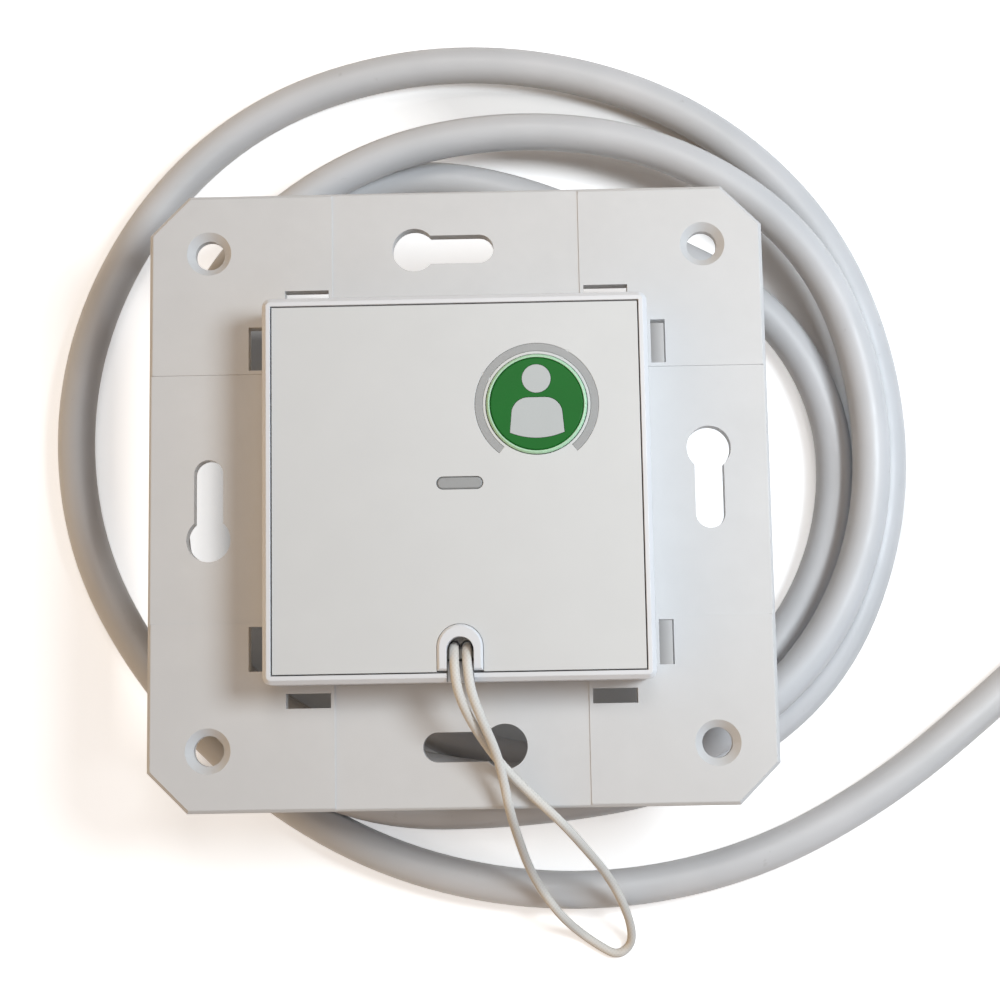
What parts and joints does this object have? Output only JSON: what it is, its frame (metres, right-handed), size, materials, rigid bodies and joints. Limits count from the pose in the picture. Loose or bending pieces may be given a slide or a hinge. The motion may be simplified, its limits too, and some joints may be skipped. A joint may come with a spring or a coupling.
{
  "type": "nurse call module",
  "caption": "Square nurse call module with a green push button, light ring, reassurance light, pull cord, keyhole mounting plate and a coiled lead with a plug.",
  "frame": {"origin": "centre of the module in plan, on the plane its rear cover rests on", "axes": "+Z out of the front panel, +Y towards the upper edge of the panel, +X to the right seen from the front"},
  "size_m": [0.1894, 0.1254, 0.0304],
  "materials": {
    "plate_white": "matte",
    "housing_white": "satin",
    "panel_grey": "fine matte",
    "rim_pale_green": "satin",
    "green": "satin",
    "symbol_pale": "satin",
    "dark_plastic": "matte",
    "silicone": "soft matte",
    "light_grey_diffuser": "diffusing satin",
    "led_body": "satin",
    "slide_white": "satin",
    "crimp_metal": "pressed",
    "spring_steel": "drawn",
    "board_green": "lacquered",
    "screw_steel": "zinc plated",
    "capacitor_can": "drawn",
    "component_tan": "matte",
    "core_insulation": "satin",
    "gland_rubber": "soft matte",
    "lead_jacket": "satin",
    "boot_rubber": "soft matte",
    "clear_plug": "clear moulded",
    "contact_gold": "gold plated",
    "cord_braid": "fine braid"
  },
  "bodies": {
    "housing": {"mounting_plate": "plate_white", "front_housing": "housing_white", "front_panel": "panel_grey", "button_switch": "dark_plastic", "return_dome": "silicone", "ring_light_guide": "light_grey_diffuser", "ring_leds": "led_body", "indicator_lens": "light_grey_diffuser", "indicator_led": "led_body", "cord_bush": "housing_white", "pull_spring": "spring_steel", "pull_switch": "dark_plastic", "circuit_board": "board_green", "board_screws": "screw_steel", "control_chip": "dark_plastic", "capacitors": "capacitor_can", "small_components": "component_tan", "wire_header": "slide_white", "wire_plug": "slide_white", "cable_cores": "core_insulation", "rear_cover": "housing_white", "rear_cover_screws": "screw_steel", "cable_gland": "gland_rubber", "cable_clamp": "slide_white", "clamp_screw": "screw_steel", "call_cable": "lead_jacket", "call_cable_coil": "lead_jacket", "call_cable_end": "lead_jacket", "plug_boot": "boot_rubber", "plug_body": "clear_plug", "plug_contacts": "contact_gold"},
    "button": {"call_button": "rim_pale_green", "button_disc": "green", "button_symbol": "symbol_pale", "switch_stem": "dark_plastic"},
    "pull": {"pull_slide": "slide_white", "cord_ferrule": "crimp_metal", "pull_cord": "cord_braid"},
    "plunger": {"switch_plunger": "slide_white"}
  },
  "joints": [
    {"name": "button_press", "type": "slide", "parent": "housing", "child": "button", "axis": [0, 0, -1], "range_m": [0, 0.0008], "stiffness_N_per_m": 1500, "deforming": ["return_dome"]},
    {"name": "pull_travel", "type": "slide", "parent": "housing", "child": "pull", "axis": [0, -1, 0], "range_m": [0, 0.001], "stiffness_N_per_m": 2000, "deforming": ["pull_spring"]},
    {"name": "plunger_press", "type": "slide", "parent": "housing", "child": "plunger", "axis": [0, 0, -1], "range_m": [0, 0.0003], "stiffness_N_per_m": 0.05, "springref_m": -0.0006}
  ],
  "couplings": [
    {"joint": "plunger_press", "follows": "pull_travel", "ratio": 0.3}
  ]
}
